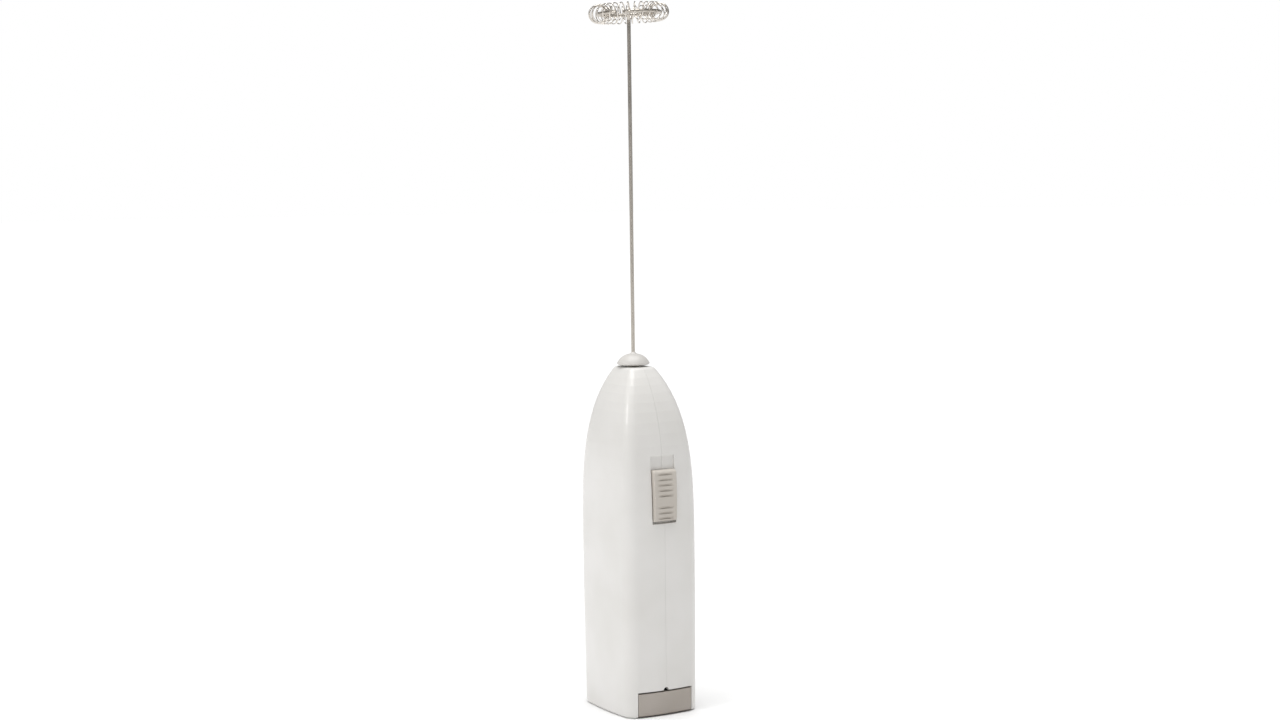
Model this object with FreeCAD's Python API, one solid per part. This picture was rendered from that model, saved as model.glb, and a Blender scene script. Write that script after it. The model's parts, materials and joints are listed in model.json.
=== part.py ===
"""Battery milk frother, standing upright with its whisk up.

All sizes are in millimetres.  +Z is up along the whisk, the switch is on the -Y side and the thin
side of the casing runs along X.  The model is drawn about the whisk's own axis and moved along Y at
the end, so that the origin is the middle of the bottom of the whole object.
"""
import FreeCAD, Part
import math
import os

Vector = FreeCAD.Vector
UP = Vector(0, 0, 1)
SIDE = Vector(1, 0, 0)
REAR = Vector(0, 1, 0)

# ---- casing: overall form -------------------------------------------------------------------
casing_half_width = 13.7     # along X, at the widest level
front_room = 3.9             # switch side beyond the reach of two cells
rear_room = 2.5              # back beyond the reach of two cells
widest_line = -1.0           # where along Y the section is widest
side_radius = 108.0          # gentle bulge of the two broad sides
front_radius = 60.0          # nearly flat switch side
rear_radius = 36.0           # rounder back
front_corner = 4.4
rear_corner = 8.2
widest_drop = 8.75           # bay's roof down to the height where the casing is thickest
base_taper = 0.024           # how much thinner the base is, as a share
nose_room = 17.8             # the coupling's foot up to the casing's flat top
nose_close = 4.4             # flat top up to the point where the nose would close
nose_fullness = 3.6
nose_bluntness = 1.35
wall = 1.6
nose_wall = 2.4
top_edge_round = 0.6
base_edge_round = 1.1
round_steps = 4              # facets in each of those rounded edges
split_line_width = 0.02      # each half's share of the fine groove where the halves meet
split_line_depth = 0.08
floor_line_width = 0.06      # the same groove on the floor of the switch's recess

# ---- clearances -----------------------------------------------------------------------------
cover_gap = 0.3              # between a moving cover or button and its opening
latch_gap = 0.5              # above the latch
latch_side_gap = 0.2
running_gap = 0.03           # shaft in its bushes
hinge_gap = 0.05             # lid pins in their sockets
pocket_gap = 0.1             # a part that is held still in its moulded pocket
rotor_gap = 0.4              # armature inside its magnets
contact_gap = 0.15           # between the moving and the fixed switch contacts

# ---- power cells ----------------------------------------------------------------------------
cell_radius = 7.25
cell_length = 50.5
cell_nub_radius = 2.7
cell_nub_height = 1.1
cell_spacing_gap = 0.3
cell_edge_round = 0.6
cell_insulator = 0.5         # step of the end ring inside the sleeve
cell_rise = 0.55             # lid's contact plate up to the rear cell's nub
spring_height = 3.2          # room for the springs, at the lid and under the roof

# ---- lid and its hinge ----------------------------------------------------------------------
lid_recess = 0.4             # the casing rim, not the lid, rests on the table
lid_plate = 1.9
latch_half_width = 9.4
latch_top = 7.6
latch_edge_round = 1.0
thumb_notch_radius = 0.9
hinge_barrel_radius = 1.5
hinge_barrel_half = 5.5
hinge_pin_radius = 0.9
hinge_pin_length = 1.3
hinge_boss_wall = 1.1
hinge_relief = 3.6           # how far in front of the hinge the lid narrows to its barrel

# ---- metal strips and springs ---------------------------------------------------------------
strip = 0.35                 # thickness of every contact strip
strip_width = 2.0
strip_offset = 2.2           # from the split plane to a strip's middle
strip_step = 1.0             # how far the switched strip steps back below the contacts
contact_pad_half = 4.0
spring_wire = 0.3            # radius
spring_base_radius = 3.6
spring_tip_radius = 2.2
spring_turns = 3
spring_points = 12           # straight runs in one turn

# ---- switch ---------------------------------------------------------------------------------
recess_rise = 1.65           # bay's roof up to the recess
recess_length = 21.0
recess_half_width = 4.25
recess_depth = 0.5           # at its upper end; the floor is upright, so it deepens downwards
recess_floor = 1.4
slider_length = 15.7
slider_gap_below = 1.0
switch_travel = 4.0
slider_stand = 1.3           # the slider's middle stands this far out of the casing's face
slider_crown = 0.35          # and its ends stand this much less
slider_top_round = 1.2
slider_edge_round = 0.3
rib_pitch = 1.66
rib_groove = 0.7
rib_groove_depth = 0.45
rib_margin = 0.6             # plain edge beside the ribs
groove_overrun = 0.2         # the groove cutters' flat backs stand this far off the slider's face
slider_band = 6.0            # slider's lower end up to the middle of its plain band
band_half = 1.0
upper_grooves = 5
lower_grooves = 3
stem_half_width = 1.2
stem_length = 4.0
stem_height = 8.6            # middle of the stem above the slider's lower end
bridge_half_width = 3.4
bridge_length = 9.0
bridge_dimple_radius = 0.6

# ---- motor ----------------------------------------------------------------------------------
motor_radius = 10.05         # rounded sides, along Y
motor_half_width = 7.55      # flat sides, along X
terminal_room = 3.75         # bay's roof up to the motor
end_cap_thickness = 1.8
end_cap_plug = 1.4
can_length = 22.6
can_wall = 0.8
bush_radius = 2.2
bush_boss_radius = 3.1
bush_boss_height = 1.5
magnet_half_angle = 48.0
magnet_length = 14.0
rotor_side_gap = 0.65        # armature to the can's flat sides
rotor_length = 9.0
rotor_hub_radius = 2.3
pole_neck = 1.6
pole_shoe = 1.1
pole_count = 3
pole_half_angle = 50.0
winding_thickness = 1.5
commutator_radius = 2.1
commutator_length = 3.0
commutator_slot = 0.3
brush_thickness = 0.5
brush_height = 2.0
terminal_width = 2.0
terminal_length = 2.3
terminal_inset = 1.65        # motor's rounded side to the terminals
shaft_radius = 1.0
shaft_below_cap = 0.4

# ---- moulded ribs ---------------------------------------------------------------------------
bay_roof = 1.5
motor_rib = 1.5
rib_inset = 2.0              # can's ends to the plates that hold it
peg_radius = 0.9
peg_boss_radius = 2.0
peg_length = 1.8
peg_rise = 2.5               # coupling's foot up to the pegs
peg_reach = 8.5
cradle_rib = 1.2
cradle_drop = 13.25          # bay's roof down to the highest rib
cradle_pitch = 14.0
cradle_count = 3

# ---- drive, cap and whisk -------------------------------------------------------------------
coupling_radius = 2.6
coupling_gap = 1.6           # motor's nose up to the coupling
shaft_grip = 5.0
rod_gap = 2.0                # shaft's end up to the rod's end
shoulder_gap = 0.8           # under the casing's top wall
neck_radius = 1.6
nose_hole_gap = 0.45
cap_gap = 0.6                # between the nose and the splash cap
cap_radius = 5.15
cap_rim = 0.35
cap_height = 3.9
cap_tip_radius = 1.15
cap_tip_height = 0.55
belly_reach = 0.74           # a point that the dome passes through, as shares of its size
belly_rise = 0.56
cap_hollow_depth = 0.5
cap_hollow_radius = 3.9
rod_radius = 0.58
rod_bend = 2.2
ring_height = 109.6          # casing's top up to the whisk's ring
ring_radius = 9.6            # middle of the wire that the coil is wound on
ring_entry = 2.6             # radius of the bend from the spoke into the ring
ring_end_gap = 14.0          # degrees left open before the spoke
spoke_angle = 231.0
ring_roll = 2.0              # degrees that the ring leans about its spoke
coil_radius = 2.75           # middle of the coil's wire
coil_wire = 0.22
coil_turns = 30
coil_points = 10             # points along one turn

# ---- values worked out from the sizes above -------------------------------------------------
casing_front_reach = 2 * cell_radius + front_room
casing_rear_reach = 2 * cell_radius + rear_room
rear_cell_floor = lid_recess + lid_plate + strip + cell_rise
front_cell_floor = rear_cell_floor + spring_height
roof_bottom = front_cell_floor + cell_length + strip
roof_top = roof_bottom + bay_roof
cradle_levels = [roof_bottom - cradle_drop - i * cradle_pitch for i in range(cradle_count)]
recess_bottom = roof_top + recess_rise
recess_top = recess_bottom + recess_length
slider_bottom = recess_bottom + slider_gap_below
stem_level = slider_bottom + stem_height
motor_rear = roof_top + terminal_room
can_bottom = motor_rear + end_cap_thickness
can_top = can_bottom + can_length
lower_rib_level = can_bottom + rib_inset
upper_rib_level = can_top - rib_inset - motor_rib
rotor_radius = motor_half_width - can_wall - rotor_side_gap
terminal_reach = motor_radius - terminal_inset
coupling_bottom = can_top + bush_boss_height + coupling_gap
shaft_top = coupling_bottom + shaft_grip
rod_bottom = shaft_top + rod_gap
peg_level = coupling_bottom + peg_rise
casing_height = coupling_bottom + nose_room
coupling_shoulder = casing_height - nose_wall - shoulder_gap
widest_level = roof_top - widest_drop
nose_apex = casing_height + nose_close - widest_level
cap_bottom = casing_height + cap_gap
ring_level = casing_height + ring_height
skin_step = 9.0              # spacing of the sections near the base; it tightens towards the nose
hidden_step = 18.0
step_share = 1.2             # share of that spacing used at the base; it falls by 1 up to the top
past = 1.0                   # cutting shapes run this far past what they cut


# ---- small helpers --------------------------------------------------------------------------
def box(x0, x1, y0, y1, z0, z1):
    """A block between two opposite corners."""
    return Part.makeBox(x1 - x0, y1 - y0, z1 - z0, Vector(x0, y0, z0))


def tube(radius, bottom, top, at=(0.0, 0.0)):
    """An upright cylinder."""
    return Part.makeCylinder(radius, top - bottom, Vector(at[0], at[1], bottom), UP)


def across(radius, x0, x1, y, z):
    """A cylinder lying along X."""
    return Part.makeCylinder(radius, x1 - x0, Vector(x0, y, z), SIDE)


def mirrored(shape):
    """The same shape on the other side of the split plane."""
    return shape.mirror(Vector(0, 0, 0), SIDE)


def both_sides(shape):
    """A shape and its mirror image, joined."""
    return shape.fuse(mirrored(shape)).removeSplitter()


def on_circle(centre, radius, angle):
    return (centre[0] + radius * math.cos(angle), centre[1] + radius * math.sin(angle))


def angle_of(centre, point):
    return math.atan2(point[1] - centre[1], point[0] - centre[0])


def corner_centre(first, first_distance, second, second_distance, turn):
    """Where two circles meet, on the side that turn (+1 or -1) picks."""
    gap_x = second[0] - first[0]
    gap_y = second[1] - first[1]
    gap = math.hypot(gap_x, gap_y)
    along = (first_distance ** 2 - second_distance ** 2 + gap ** 2) / (2 * gap)
    off = turn * math.sqrt(first_distance ** 2 - along ** 2)
    middle_x = first[0] + along * gap_x / gap
    middle_y = first[1] + along * gap_y / gap
    return (middle_x - off * gap_y / gap, middle_y + off * gap_x / gap)


def arc(centre, radius, start, end, level):
    """A level arc between two angles."""
    angles = (start, (start + end) / 2, end)
    points = [Vector(*on_circle(centre, radius, a), level) for a in angles]
    return Part.Arc(*points).toShape()


def section_scale(level):
    """Size of the casing's section at a level, as a share of its widest section."""
    if level <= widest_level:
        return 1 - base_taper * ((widest_level - level) / widest_level) ** 2
    share = (level - widest_level) / nose_apex
    return (1 - share ** nose_fullness) ** (1 / nose_bluntness)


def half_section(level, inset):
    """The half outline on the +X side, made of five tangent arcs and closed along X = 0."""
    scale = section_scale(level)
    front = casing_front_reach * scale - inset
    rear = casing_rear_reach * scale - inset
    radii = (front_radius, front_corner, side_radius, rear_corner, rear_radius)
    front_r, front_c, side_r, rear_c, rear_r = [r * scale - inset for r in radii]
    width = casing_half_width * scale - inset
    middle = (width - side_r, widest_line * scale)
    front_middle = (0.0, front_r - front)
    rear_middle = (0.0, rear - rear_r)
    front_knee = corner_centre(front_middle, front_r - front_c, middle, side_r - front_c, 1)
    rear_knee = corner_centre(rear_middle, rear_r - rear_c, middle, side_r - rear_c, -1)
    front_turn = angle_of(front_middle, front_knee)
    side_start = angle_of(middle, front_knee)
    side_end = angle_of(middle, rear_knee)
    rear_turn = angle_of(rear_middle, rear_knee)
    quarter = math.pi / 2
    edges = [
        arc(front_middle, front_r, -quarter, front_turn, level),
        arc(front_knee, front_c, front_turn, side_start, level),
        arc(middle, side_r, side_start, side_end, level),
        arc(rear_knee, rear_c, side_end, rear_turn, level),
        arc(rear_middle, rear_r, rear_turn, quarter, level),
        Part.LineSegment(Vector(0, rear, level), Vector(0, -front, level)).toShape(),
    ]
    return Part.Wire(edges)


def half_form(inset, bottom, top):
    """The casing's form on the +X side, drawn in by inset, between two levels."""
    step = hidden_step if inset > 0 else skin_step
    levels = [bottom]
    while levels[-1] < top:
        levels.append(min(top, levels[-1] + step * (step_share - max(0.0, levels[-1] / casing_height))))
    return Part.makeLoft([half_section(z, inset) for z in levels], True, True)


def edge_rings(radius):
    """Height and draw-in of the sections that make a quarter round, from the edge inwards."""
    angles = [math.pi / 2 * i / round_steps for i in range(round_steps)]
    return [(radius * (1 - math.cos(a)), radius * (1 - math.sin(a))) for a in angles]


def skin(bottom, top, bottom_round, top_round):
    """The casing's outer form on the +X side, with rounded lower and upper edges."""
    rings = [half_section(bottom + rise, inset) for rise, inset in edge_rings(bottom_round)]
    level = bottom + bottom_round
    last = top - top_round
    while level < last:
        rings.append(half_section(level, 0.0))
        level = min(last, level + skin_step * (step_share - level / casing_height))
    rings.append(half_section(last, 0.0))
    rings += [half_section(top - rise, inset) for rise, inset in reversed(edge_rings(top_round))]
    return Part.makeLoft(rings, True, True)


def front_face(level):
    """Where the switch side is at a level, on the split plane."""
    return -casing_front_reach * section_scale(level)


def rear_face(level):
    return casing_rear_reach * section_scale(level)


def flat_round(radius, half_width, bottom, top):
    """A cylinder with two flats, the form of the motor."""
    flats = box(-half_width, half_width, -radius - past, radius + past, bottom, top)
    return tube(radius, bottom, top).common(flats)


# ---- places that several pieces share -------------------------------------------------------
cell_middle = (front_face(0) + rear_face(0)) / 2
front_cell_y = cell_middle - cell_radius - cell_spacing_gap / 2
rear_cell_y = cell_middle + cell_radius + cell_spacing_gap / 2
rear_bow = rear_radius - math.sqrt(rear_radius ** 2 - hinge_barrel_half ** 2)
hinge_y = rear_face(0) - wall - cover_gap - rear_bow - hinge_barrel_radius
hinge_z = lid_recess + hinge_barrel_radius
recess_floor_y = front_face(recess_top) + recess_depth
housing_back_y = recess_floor_y + recess_floor
bridge_y = housing_back_y + contact_gap
slider_crest_level = slider_bottom + (slider_length - slider_top_round) / 2
slider_crest_y = front_face(slider_crest_level) - slider_stand
slider_ends_y = slider_crest_y + slider_crown
row_shift = (max(casing_front_reach, -slider_crest_y) - casing_rear_reach) / 2
fixed_contact_y = bridge_y + strip + bridge_dimple_radius / 2 + contact_gap
set_back_y = fixed_contact_y + strip + strip_step
nose_hole_radius = neck_radius + nose_hole_gap


# ---- casing ---------------------------------------------------------------------------------
def switch_housing():
    """The tray that the slider runs in, standing in from the wall."""
    rim = recess_floor
    return box(0, recess_half_width + rim, -casing_front_reach, housing_back_y,
               recess_bottom - rim, recess_top + rim)


def slider_slot():
    """The slot in the tray's floor for the slider's stem."""
    low = stem_level - stem_length / 2 - cover_gap
    high = stem_level + stem_length / 2 + switch_travel + cover_gap
    reach = stem_half_width + cover_gap
    return box(-reach, reach, recess_floor_y - past, housing_back_y + past, low, high)


def switch_recess():
    return box(-recess_half_width, recess_half_width, -casing_front_reach - past, recess_floor_y,
               recess_bottom, recess_top)


def latch_opening():
    """The opening in the front wall that the lid's latch fills, with a notch at its middle."""
    reach = latch_half_width + latch_side_gap
    top = latch_top + latch_gap
    opening = box(-reach, reach, -casing_front_reach - past, front_cell_y, -past, top)
    notch = Part.makeCylinder(thumb_notch_radius, casing_front_reach, Vector(0, front_cell_y, top), -REAR)
    return opening.fuse(notch)


def hinge_socket():
    """A boss with a blind hole for one of the lid's pins."""
    start = hinge_barrel_half + cover_gap
    reach = hinge_pin_radius + hinge_boss_wall
    boss = box(start, casing_half_width, hinge_y - reach, hinge_y + reach + wall, lid_recess,
               hinge_z + reach)
    hole = across(hinge_pin_radius + hinge_gap, start - past, start + hinge_pin_length, hinge_y, hinge_z)
    return boss, hole


def strip_slots():
    """Openings in the bay's roof for the two contact strips."""
    reach = strip_width / 2 + pocket_gap
    front = box(-strip_offset - reach, -strip_offset + reach, fixed_contact_y - pocket_gap,
                fixed_contact_y + strip + pocket_gap, roof_bottom - past, roof_top + past)
    rear = box(strip_offset - reach, strip_offset + reach, terminal_reach - pocket_gap + strip,
               terminal_reach + 2 * strip + pocket_gap, roof_bottom - past, roof_top + past)
    return front.fuse(rear)


def bay_ribs():
    """Curved ribs that cradle the two cells on one side of the bay."""
    cells = tube(cell_radius + pocket_gap, 0, roof_bottom, (0, front_cell_y))
    cells = cells.fuse(tube(cell_radius + pocket_gap, 0, roof_bottom, (0, rear_cell_y)))
    ribs = []
    for level in cradle_levels:
        slab = box(cell_radius / 2, casing_half_width, -casing_front_reach, casing_rear_reach,
                   level, level + cradle_rib)
        ribs.append(slab.cut(cells))
    return ribs


def motor_ribs():
    """Two plates that hold the motor's can."""
    motor = flat_round(motor_radius + pocket_gap, motor_half_width + pocket_gap, motor_rear, can_top)
    switch_room = box(-bridge_half_width - past, bridge_half_width + past, -casing_front_reach,
                      set_back_y + strip + pocket_gap, motor_rear, recess_top + recess_floor)
    ribs = []
    for level in (lower_rib_level, upper_rib_level):
        slab = box(0, casing_half_width, -casing_front_reach, casing_rear_reach, level, level + motor_rib)
        ribs.append(slab.cut(motor).cut(switch_room))
    return ribs


def split_groove():
    """The fine line round the outside where the two halves meet."""
    sheet = box(-past, split_line_width, -casing_front_reach - past, casing_rear_reach + past, -past,
                casing_height + past)
    groove = sheet.cut(half_form(split_line_depth, -past, casing_height - split_line_depth))
    floor_line = box(-past, floor_line_width, recess_floor_y - past, recess_floor_y + split_line_depth,
                     recess_bottom, recess_top)
    return groove.fuse(floor_line)


def casing_fittings():
    """Everything moulded inside one half, as blocks that are then trimmed to run into the wall."""
    fittings = [switch_housing(), hinge_socket()[0]]
    fittings.append(box(0, casing_half_width, -casing_front_reach, casing_rear_reach, roof_bottom, roof_top))
    fittings += bay_ribs() + motor_ribs()
    for y in (-peg_reach, peg_reach):
        fittings.append(across(peg_boss_radius, 0, casing_half_width, y, peg_level))
    root = half_form(wall / 2, -past, casing_height - nose_wall / 2)
    return [block.common(root) for block in fittings]


def casing_half(left):
    """One moulded half, drawn on the +X side; the left half is mirrored when it is done."""
    outer = skin(0.0, casing_height, base_edge_round, top_edge_round)
    inner = half_form(wall, -past, casing_height - nose_wall)
    solid = outer.cut(inner).fuse(casing_fittings())
    slots = strip_slots()
    if left:
        slots = mirrored(slots)
    cuts = [switch_recess(), slider_slot(), latch_opening(), hinge_socket()[1], slots, split_groove()]
    cuts.append(tube(nose_hole_radius, casing_height - nose_wall - past, casing_height + past))
    if not left:
        for y in (-peg_reach, peg_reach):
            cuts.append(across(peg_radius + pocket_gap, -past, peg_length + pocket_gap, y, peg_level))
    solid = solid.cut(cuts)
    if not left:
        return solid
    pegs = [across(peg_radius, -peg_length, past, y, peg_level) for y in (-peg_reach, peg_reach)]
    return mirrored(solid.fuse(pegs))


# ---- cells and contacts ---------------------------------------------------------------------
def cell(y, floor, nub_up):
    """A round power cell with a nub at one end."""
    body_length = cell_length - cell_nub_height
    body = tube(cell_radius, 0, body_length)
    body = body.makeFillet(cell_edge_round, [e for e in body.Edges if e.Closed])
    ring = tube(cell_radius - 2 * cell_insulator, body_length - cell_insulator, body_length + past)
    nub = tube(cell_nub_radius, body_length - 2 * cell_insulator, cell_length)
    solid = body.cut(ring).fuse(nub).removeSplitter()
    if not nub_up:
        solid.rotate(Vector(0, 0, cell_length / 2), SIDE, 180)
    solid.translate(Vector(0, y, floor))
    return solid


def wire_through(points, radius):
    """Round wire in short straight runs with mitred joints; it ends square at both ends."""
    sweep = Part.BRepOffsetAPI.MakePipeShell(Part.makePolygon(points))
    sweep.setTransitionMode(1)
    sweep.add(Part.Wire([Part.Circle(points[0], points[1] - points[0], radius).toShape()]))
    sweep.build()
    sweep.makeSolid()
    return sweep.shape()


def coil_spring(base_radius, tip_radius, height, turns):
    """A conical spring standing on Z = 0, its wire's lowest point at 0."""
    rise = height - 2 * spring_wire
    count = turns * spring_points
    points = []
    for i in range(count + 1):
        share = i / count
        reach = base_radius + (tip_radius - base_radius) * share
        angle = 2 * math.pi * i / spring_points
        points.append(Vector(reach * math.cos(angle), reach * math.sin(angle), spring_wire + rise * share))
    return wire_through(points, spring_wire)


def contact_positive():
    """Pad on the front cell's nub, with a strip up to the switch."""
    low = front_cell_floor + cell_length
    left = -strip_offset - strip_width / 2
    right = -strip_offset + strip_width / 2
    pad = box(-contact_pad_half, contact_pad_half, front_cell_y - contact_pad_half,
              front_cell_y + contact_pad_half, low, low + strip)
    foot = box(left, right, fixed_contact_y, front_cell_y, low, low + strip)
    riser = box(left, right, fixed_contact_y, fixed_contact_y + strip, low, recess_top - recess_floor)
    return pad.fuse([foot, riser]).removeSplitter()


def contact_negative():
    """Pad above the rear cell with its spring, and a strip up to the motor."""
    top = front_cell_floor + cell_length + strip
    pad_low = top - strip
    left = strip_offset - strip_width / 2
    pad = box(-contact_pad_half, contact_pad_half, rear_cell_y - contact_pad_half,
              rear_cell_y + contact_pad_half, pad_low, top)
    riser_y = terminal_reach + strip
    riser = box(left, left + strip_width, riser_y, riser_y + strip, pad_low, motor_rear - pocket_gap)
    return pad.fuse(riser).removeSplitter()


def contact_spring():
    """Spring pressed between the rear cell and its pad."""
    low = rear_cell_floor + cell_length
    high = front_cell_floor + cell_length
    spring = coil_spring(spring_base_radius, spring_tip_radius, high - low, spring_turns)
    spring.rotate(Vector(0, 0, (high - low) / 2), SIDE, 180)
    spring.translate(Vector(0, rear_cell_y, low))
    return spring


def contact_switched():
    """Stepped strip from the switch's upper end down to the motor's front terminal."""
    left = strip_offset - strip_width / 2
    right = strip_offset + strip_width / 2
    step = stem_level + bridge_length / 2 + contact_gap + strip
    top = recess_top - recess_floor
    foot = motor_rear - terminal_length + strip
    upper = box(left, right, fixed_contact_y, fixed_contact_y + strip, step, top)
    jog = box(left, right, fixed_contact_y, set_back_y + strip, step - strip, step)
    lower = box(left, right, set_back_y, set_back_y + strip, foot - strip, step)
    toe = box(left, right, set_back_y, -terminal_reach - strip, foot - strip, foot)
    return upper.fuse([jog, lower, toe]).removeSplitter()


# ---- switch ---------------------------------------------------------------------------------
def slider_body():
    """The slider without its grooves: a crowned face with a rounded upper end."""
    reach = recess_half_width - cover_gap
    back = recess_floor_y - contact_gap
    top = slider_bottom + slider_length
    neck = top - slider_top_round
    tuck = slider_top_round * (1 - math.sqrt(0.5))
    low_end = Vector(-reach, slider_ends_y, slider_bottom)
    round_start = Vector(-reach, slider_ends_y, neck)
    round_middle = Vector(-reach, slider_ends_y + tuck, top - tuck)
    round_end = Vector(-reach, slider_ends_y + slider_top_round, top)
    crown = Part.Arc(low_end, Vector(-reach, slider_crest_y, slider_crest_level), round_start)
    shoulder = Part.Arc(round_start, round_middle, round_end)
    corners = [round_end, Vector(-reach, back, top), Vector(-reach, back, slider_bottom), low_end]
    side_view = Part.Wire([crown.toShape(), shoulder.toShape()] + Part.makePolygon(corners).Edges)
    body = Part.Face(side_view).extrude(Vector(2 * reach, 0, 0))
    rim = [e for e in body.Edges if e.BoundBox.XLength < slider_edge_round
           and e.BoundBox.ZLength > slider_edge_round and e.BoundBox.YMin < slider_ends_y + tuck]
    return body.makeFillet(slider_edge_round, rim)


def rib_groove_cutter(level):
    """A lens-shaped slice whose depth runs out to nothing at both ends of the groove."""
    half = recess_half_width - cover_gap - rib_margin
    share = (level - slider_crest_level) / (slider_crest_level - slider_bottom)
    face = slider_crest_y + slider_crown * share ** 2
    low = level - rib_groove / 2
    left = Vector(-half, face - groove_overrun, low)
    right = Vector(half, face - groove_overrun, low)
    curve = Part.Arc(left, Vector(0, face + rib_groove_depth, low), right)
    outline = Part.Wire([curve.toShape(), Part.LineSegment(right, left).toShape()])
    return Part.Face(outline).extrude(Vector(0, 0, rib_groove))


def switch_slider():
    """Ribbed thumb slider with a stem through the tray's floor."""
    band = slider_bottom + slider_band
    levels = [band + band_half + rib_pitch * (i + 0.5) for i in range(upper_grooves)]
    levels += [band - band_half - rib_pitch * (i + 0.5) for i in range(lower_grooves)]
    ribbed = slider_body().cut([rib_groove_cutter(level) for level in levels])
    stem = box(-stem_half_width, stem_half_width, recess_floor_y - contact_gap - past, bridge_y + 2 * strip,
               stem_level - stem_length / 2, stem_level + stem_length / 2)
    return ribbed.fuse(stem)


def switch_bridge():
    """Spring-metal bridge clipped on the stem, with two contact dimples."""
    plate = box(-bridge_half_width, bridge_half_width, bridge_y, bridge_y + strip,
                stem_level - bridge_length / 2, stem_level + bridge_length / 2)
    hole = box(-stem_half_width, stem_half_width, bridge_y - past, bridge_y + past + strip,
               stem_level - stem_length / 2, stem_level + stem_length / 2)
    dimple_level = stem_level + bridge_length / 2 - bridge_dimple_radius * 1.5
    dimples = []
    for x in (-strip_offset, strip_offset):
        ball = Part.makeSphere(bridge_dimple_radius, Vector(x, bridge_y + strip, dimple_level))
        keep = box(x - past, x + past, bridge_y + strip / 2, bridge_y + strip + bridge_dimple_radius / 2,
                   dimple_level - past, dimple_level + past)
        dimples.append(ball.common(keep))
    return plate.cut(hole).fuse(dimples).removeSplitter()


# ---- lid ------------------------------------------------------------------------------------
def battery_lid():
    """Bottom plate with the latch up the front and the hinge barrel along the back."""
    top = lid_recess + lid_plate
    narrow_y = hinge_y - hinge_relief
    form_top = widest_level / 2
    plate = Part.makeLoft([half_section(z, wall + cover_gap) for z in (0.0, form_top)], True, True)
    plate = plate.common(box(0, casing_half_width, -casing_front_reach, narrow_y, lid_recess, top))
    neck = box(0, hinge_barrel_half, narrow_y - past, hinge_y, lid_recess, top)
    barrel = across(hinge_barrel_radius, 0, hinge_barrel_half, hinge_y, hinge_z)
    pin = across(hinge_pin_radius, 0, hinge_barrel_half + hinge_pin_length, hinge_y, hinge_z)
    latch = skin(lid_recess, form_top, latch_edge_round, base_edge_round)
    latch = latch.common(box(0, latch_half_width, -casing_front_reach, front_cell_y, lid_recess, latch_top))
    hollow = half_form(wall, 0.0, form_top)
    hollow = hollow.common(box(-past, casing_half_width, -casing_front_reach, 0, top, form_top))
    return both_sides(plate.fuse([neck, barrel, pin, latch.cut(hollow)]))


def lid_contact_plate():
    """Plate on the lid that joins the two cells' lower ends."""
    low = lid_recess + lid_plate
    return box(-contact_pad_half, contact_pad_half, front_cell_y - contact_pad_half,
               rear_cell_y + contact_pad_half / 2, low, low + strip)


def lid_spring():
    low = lid_recess + lid_plate + strip
    spring = coil_spring(spring_base_radius, spring_tip_radius, front_cell_floor - cover_gap - low,
                         spring_turns)
    spring.translate(Vector(0, front_cell_y, low))
    return spring


# ---- motor ----------------------------------------------------------------------------------
def motor_can():
    outer = flat_round(motor_radius, motor_half_width, can_bottom, can_top)
    inner = flat_round(motor_radius - can_wall, motor_half_width - can_wall, can_bottom - past,
                       can_top - can_wall)
    boss = tube(bush_boss_radius, can_top - can_wall, can_top + bush_boss_height)
    hole = tube(bush_radius, can_top - can_wall - past, can_top + bush_boss_height + past)
    return outer.cut(inner).fuse(boss).cut(hole).removeSplitter()


def motor_end_cap():
    """Plastic plug in the can's open end, with a boss for the rear bush."""
    disc = flat_round(motor_radius, motor_half_width, motor_rear, can_bottom)
    plug = flat_round(motor_radius - can_wall, motor_half_width - can_wall, can_bottom,
                      can_bottom + end_cap_plug)
    room = tube(rotor_radius, can_bottom, can_bottom + end_cap_plug)
    boss = tube(bush_boss_radius, motor_rear - bush_boss_height / 2, motor_rear)
    hole = tube(bush_radius, motor_rear - bush_boss_height - past, can_bottom + past)
    return disc.fuse([plug.cut(room), boss]).cut(hole).removeSplitter()


def bush(bottom, top):
    return tube(bush_radius, bottom, top).cut(tube(shaft_radius + running_gap, bottom - past, top + past))


def rotor_bottom():
    """Lower face of the armature's steel."""
    return can_bottom + end_cap_plug + commutator_length + 2 * winding_thickness


def motor_magnets():
    """Two curved magnets on the can's rounded sides."""
    outer = motor_radius - can_wall
    low = rotor_bottom() + (rotor_length - magnet_length) / 2
    ring = tube(outer, low, low + magnet_length)
    ring = ring.cut(tube(rotor_radius + rotor_gap, low - past, low + magnet_length + past))
    reach = motor_half_width - can_wall - pocket_gap
    ring = ring.common(box(-reach, reach, -outer, outer, low, low + magnet_length))
    sector = Part.makeCylinder(2 * outer, magnet_length, Vector(0, 0, low), UP, 2 * magnet_half_angle)
    sector.rotate(Vector(0, 0, 0), UP, 90 - magnet_half_angle)
    rear = ring.common(sector)
    front = rear.copy()
    front.rotate(Vector(0, 0, 0), UP, 180)
    return Part.makeCompound([rear, front])


def armature_core():
    """Three-pole steel armature."""
    low = rotor_bottom()
    high = low + rotor_length
    core = tube(rotor_hub_radius, low, high)
    shoe_ring = tube(rotor_radius, low, high).cut(tube(rotor_radius - pole_shoe, low - past, high + past))
    for i in range(pole_count):
        turn = 360.0 * i / pole_count
        neck = box(0, rotor_radius - pole_shoe / 2, -pole_neck / 2, pole_neck / 2, low, high)
        sector = Part.makeCylinder(2 * rotor_radius, rotor_length, Vector(0, 0, low), UP,
                                   2 * pole_half_angle)
        sector.rotate(Vector(0, 0, 0), UP, -pole_half_angle)
        pole = neck.fuse(shoe_ring.common(sector))
        pole.rotate(Vector(0, 0, 0), UP, turn)
        core = core.fuse(pole)
    return core.cut(tube(shaft_radius, low - past, high + past)).removeSplitter()


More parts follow.
